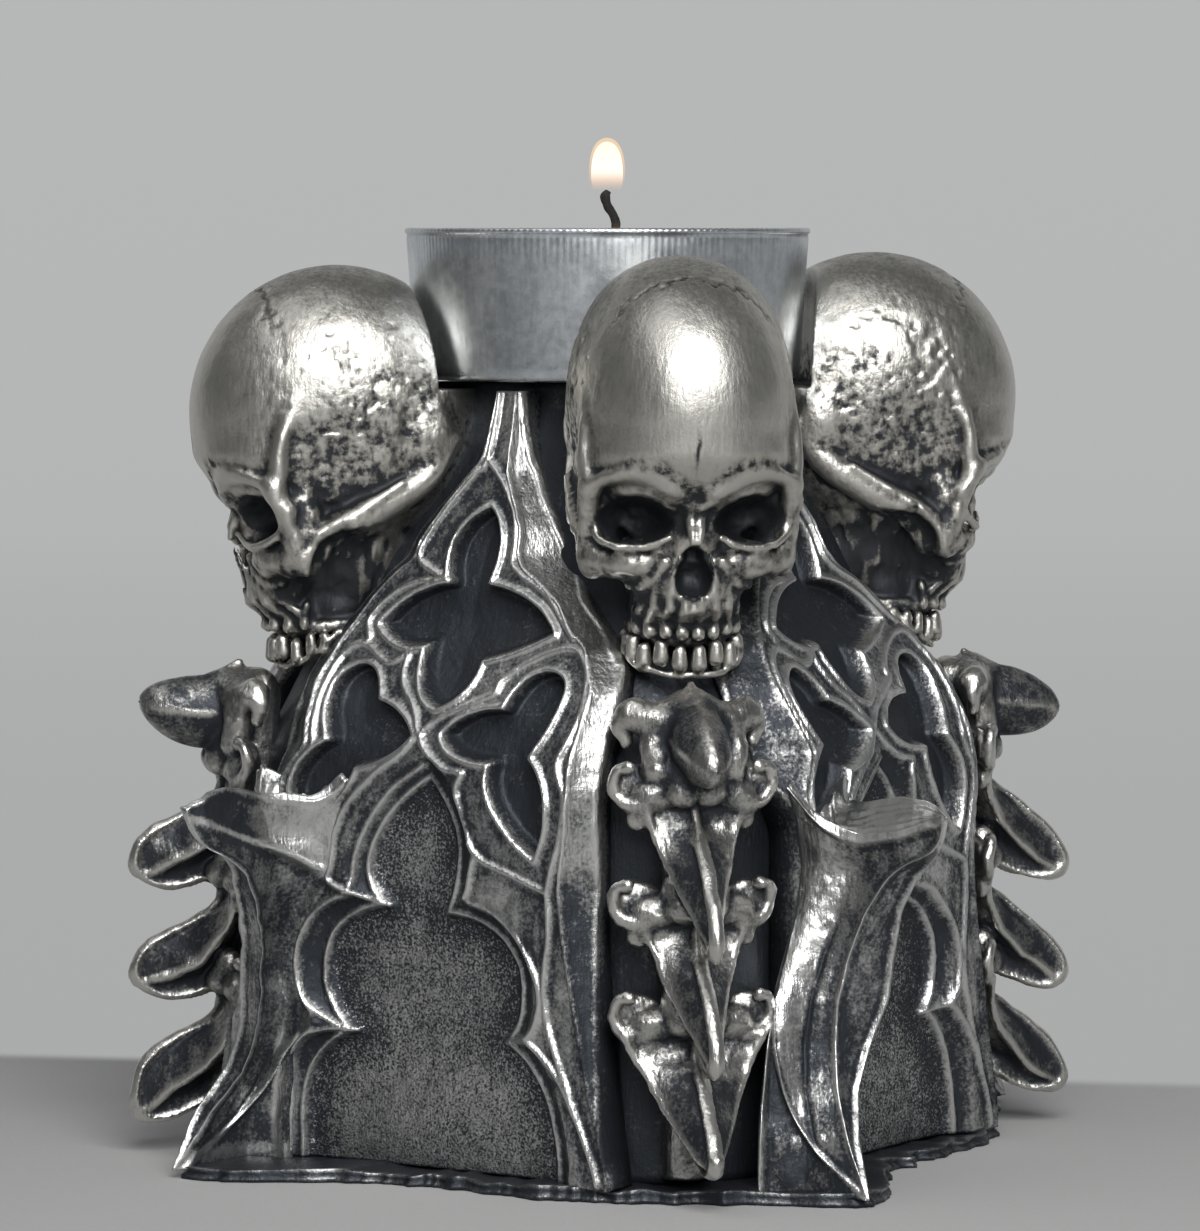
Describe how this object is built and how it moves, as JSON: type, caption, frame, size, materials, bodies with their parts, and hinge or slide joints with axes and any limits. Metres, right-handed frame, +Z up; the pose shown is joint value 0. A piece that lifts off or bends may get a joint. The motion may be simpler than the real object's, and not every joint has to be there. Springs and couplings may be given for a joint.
{
  "type": "tea light holder",
  "caption": "Gothic tea light holder: skulls around a candle cup, bladed spines below them, traceried faces and flaring buttresses, antique silver finish.",
  "frame": {"origin": "on the table plane under the candle's axis", "axes": "+Z up along the candle's axis, the front skull faces -Y, +X to the right seen from the front"},
  "size_m": [0.0928, 0.0928, 0.0911],
  "materials": {
    "skull_silver": "cast resin, satin antique silver paint",
    "tracery_silver": "cast resin, silver rubbed over blue-black",
    "bone_silver": "cast resin, silver rubbed over blue-black",
    "dark_silver": "cast resin, blue-black with a faint silver rub",
    "plate_dark": "cast resin, blue-black",
    "aluminium_foil": "drawn thin aluminium, bright",
    "wax": "smooth paraffin wax",
    "tinplate": "thin pressed tinplate",
    "wick": "burnt cotton braid"
  },
  "bodies": {
    "holder": {"base_plate": "plate_dark", "core_body": "dark_silver", "tracery_panel_front_right": "tracery_silver", "buttress_wing_front_right": "tracery_silver", "buttress_foot_front_right": "tracery_silver", "tracery_panel_back_right": "tracery_silver", "buttress_wing_back_right": "tracery_silver", "buttress_foot_back_right": "tracery_silver", "tracery_panel_back_left": "tracery_silver", "buttress_wing_back_left": "tracery_silver", "buttress_foot_back_left": "tracery_silver", "tracery_panel_front_left": "tracery_silver", "buttress_wing_front_left": "tracery_silver", "buttress_foot_front_left": "tracery_silver", "skull_front": "skull_silver", "vertebra_front_1": "bone_silver", "vertebra_front_2": "bone_silver", "vertebra_front_3": "bone_silver", "vertebra_front_4": "bone_silver", "skull_right": "skull_silver", "vertebra_right_1": "bone_silver", "vertebra_right_2": "bone_silver", "vertebra_right_3": "bone_silver", "vertebra_right_4": "bone_silver", "skull_back": "skull_silver", "vertebra_back_1": "bone_silver", "vertebra_back_2": "bone_silver", "vertebra_back_3": "bone_silver", "vertebra_back_4": "bone_silver", "skull_left": "skull_silver", "vertebra_left_1": "bone_silver", "vertebra_left_2": "bone_silver", "vertebra_left_3": "bone_silver", "vertebra_left_4": "bone_silver"},
    "tealight": {"tealight_cup": "aluminium_foil", "tealight_wax": "wax", "wick_sustainer": "tinplate", "wick": "wick"}
  },
  "joints": [
    {"name": "tealight_lift", "type": "slide", "parent": "holder", "child": "tealight", "axis": [0, 0, 1], "range_m": [0, 0.04]}
  ]
}
